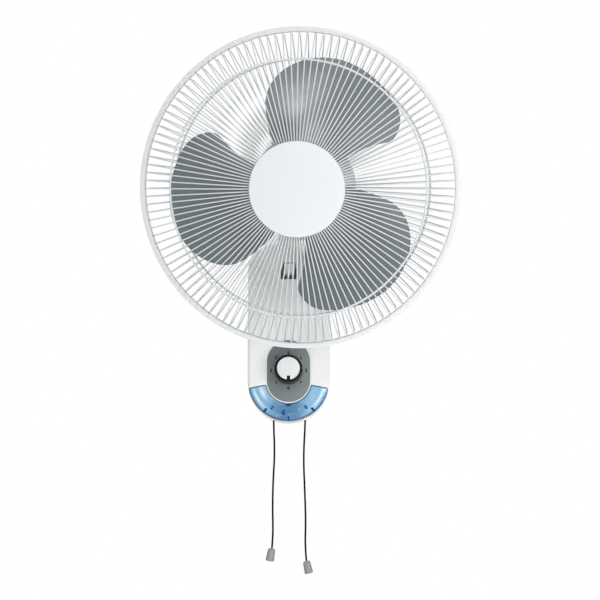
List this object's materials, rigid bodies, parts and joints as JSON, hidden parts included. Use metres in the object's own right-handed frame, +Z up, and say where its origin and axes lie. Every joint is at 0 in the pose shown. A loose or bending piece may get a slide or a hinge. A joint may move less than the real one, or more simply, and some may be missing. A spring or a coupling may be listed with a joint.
{
  "type": "wall fan",
  "caption": "Oscillating wall fan: a column with a dial and two pull cords carries a tilting, swinging motor head with a wire guard and grey blades.",
  "frame": {"origin": "centre of the wall bracket's screw pattern, on the wall", "axes": "+X to the viewer's right, +Y into the wall, +Z up"},
  "size_m": [0.4418, 0.3579, 0.7412],
  "materials": {
    "white_plastic": "smooth white moulded plastic",
    "white_plastic_neck": "white painted casting",
    "badge_plastic": "smooth white moulded plastic",
    "grey_plastic": "satin mid grey",
    "black_plastic": "satin black",
    "blue_lens": "clear blue moulded plastic",
    "blade_plastic": "blue-grey moulded plastic",
    "white_wire": "powder coated white",
    "zinc_steel": "zinc plated",
    "lamination_steel": "stacked sheet",
    "cast_aluminium": "as cast",
    "copper_wire": "enamelled winding",
    "bronze": "sintered",
    "cord_black": "black braided cord",
    "bell_grey": "satin grey"
  },
  "bodies": {
    "column": {"wall_bracket": "zinc_steel", "rear_cover": "white_plastic", "front_cover": "white_plastic", "cable_inlet": "black_plastic", "dial_plate": "grey_plastic", "lens": "blue_lens", "cord_guides": "white_plastic", "cover_screws": "zinc_steel", "selector_switch": "black_plastic", "swing_switch": "black_plastic", "run_capacitor": "black_plastic", "terminal_block": "white_plastic", "tilt_yoke": "zinc_steel", "tilt_bolt": "zinc_steel", "tilt_nut": "zinc_steel"},
    "neck": {"neck": "white_plastic_neck"},
    "head": {"pivot_pin": "zinc_steel", "head_bracket": "cast_aluminium", "stator_core": "lamination_steel", "stator_windings": "copper_wire", "front_end_shield": "cast_aluminium", "rear_end_shield": "cast_aluminium", "sleeve_bearings": "bronze", "motor_front_cover": "white_plastic", "motor_rear_cover": "white_plastic", "front_guard_spokes": "white_wire", "rear_guard_spokes": "white_wire", "front_guard_rings": "white_wire", "rear_guard_rings": "white_wire", "rear_guard_plate": "white_wire", "guard_nut": "white_plastic", "clamp_hoop": "white_plastic", "badge": "badge_plastic"},
    "fan": {"motor_shaft": "zinc_steel", "drive_pin": "zinc_steel", "rotor_core": "lamination_steel", "fan_blade": "blade_plastic", "spinner_nut": "blade_plastic"},
    "dial": {"selector_spindle": "zinc_steel", "knob_skirt": "black_plastic", "knob_cap": "badge_plastic"},
    "speed_pull": {"speed_lever": "white_plastic", "speed_cord": "cord_black", "speed_bell": "bell_grey"},
    "swing_pull": {"swing_lever": "white_plastic", "swing_cord": "cord_black", "swing_bell": "bell_grey"}
  },
  "joints": [
    {"name": "head_tilt", "type": "hinge", "parent": "column", "child": "neck", "pos_m": [0, -0.042, 0.092], "axis": [1, 0, 0], "range_deg": [-13, 16]},
    {"name": "head_swing", "type": "hinge", "parent": "neck", "child": "head", "pos_m": [0, -0.14127, 0.20367], "axis": [0, -0.2368, 0.9715], "range_deg": [-41.2, 48.8]},
    {"name": "fan_spin", "type": "hinge", "parent": "head", "child": "fan", "pos_m": [0.02574, -0.14293, 0.20326], "axis": [-0.0663, -0.9694, -0.2363], "continuous": true},
    {"name": "dial_turn", "type": "hinge", "parent": "column", "child": "dial", "pos_m": [0, -0.08, -0.058], "axis": [0, -1, 0], "continuous": true},
    {"name": "speed_cord_pull", "type": "slide", "parent": "column", "child": "speed_pull", "axis": [0, 0, -1], "range_m": [0, 0.014], "stiffness_N_per_m": 500, "springref_m": -0.006},
    {"name": "swing_cord_pull", "type": "slide", "parent": "column", "child": "swing_pull", "axis": [0, 0, -1], "range_m": [0, 0.014], "stiffness_N_per_m": 500, "springref_m": -0.006}
  ]
}
